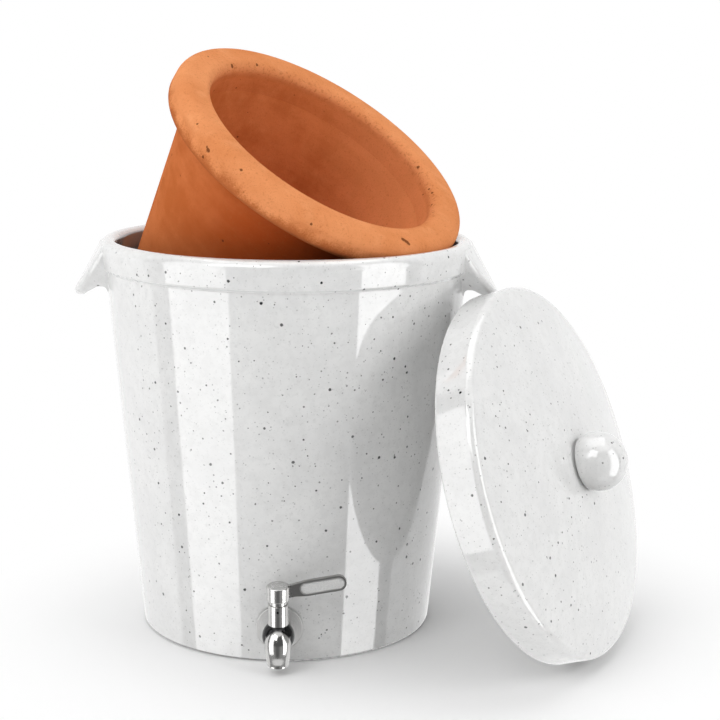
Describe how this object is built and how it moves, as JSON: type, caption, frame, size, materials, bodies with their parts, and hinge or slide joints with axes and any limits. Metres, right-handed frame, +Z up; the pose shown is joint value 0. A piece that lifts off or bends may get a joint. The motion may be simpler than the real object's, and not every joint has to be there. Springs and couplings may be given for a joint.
{
  "type": "ceramic water filter pot with tap",
  "caption": "Glazed pot with lug ears and a quarter-turn tap at its foot, a clay filter pot tilted in its mouth, and a knobbed lid leaning on one ear.",
  "frame": {"origin": "middle of the pot's base, on the surface it stands on", "axes": "+Z up, -Y towards the side that the tap is on, ears along +X and -X"},
  "size_m": [0.444, 0.3512, 0.4435],
  "materials": {
    "glazed_stoneware": "glossy white glaze with fine grey and black speckles",
    "terracotta": "bare, matte, lightly pitted and brushed",
    "stainless_steel": "polished",
    "silicone": "translucent white",
    "seat_plastic": "smooth white seat",
    "seal_rubber": "black, smooth"
  },
  "bodies": {
    "pot": {"receptacle": "glazed_stoneware", "tap_body": "stainless_steel", "wall_flange": "stainless_steel", "outer_gasket": "silicone", "inner_gasket": "silicone", "inner_washer": "stainless_steel", "lock_nut": "stainless_steel", "valve_sleeve": "seat_plastic", "gland_nut": "stainless_steel", "retaining_pin": "stainless_steel"},
    "lever": {"tap_lever": "stainless_steel", "lever_screw": "stainless_steel", "lever_cap_disc": "stainless_steel", "valve_plug": "stainless_steel", "stem_o_rings": "seal_rubber"},
    "lid": {"lid": "glazed_stoneware", "lid_knob": "glazed_stoneware"},
    "filter": {"clay_filter": "terracotta"}
  },
  "joints": [
    {"name": "lever_turn", "type": "hinge", "parent": "pot", "child": "lever", "pos_m": [0, -0.1299, 0.0266], "axis": [0, -0.0913, 0.9958], "range_deg": [-90, 0]},
    {"name": "lid_lift", "type": "slide", "parent": "pot", "child": "lid", "axis": [0.5748, -0.2878, 0.766], "range_m": [0, 0.3]},
    {"name": "filter_lift", "type": "slide", "parent": "pot", "child": "filter", "axis": [0, 0, 1], "range_m": [0, 0.13]}
  ]
}
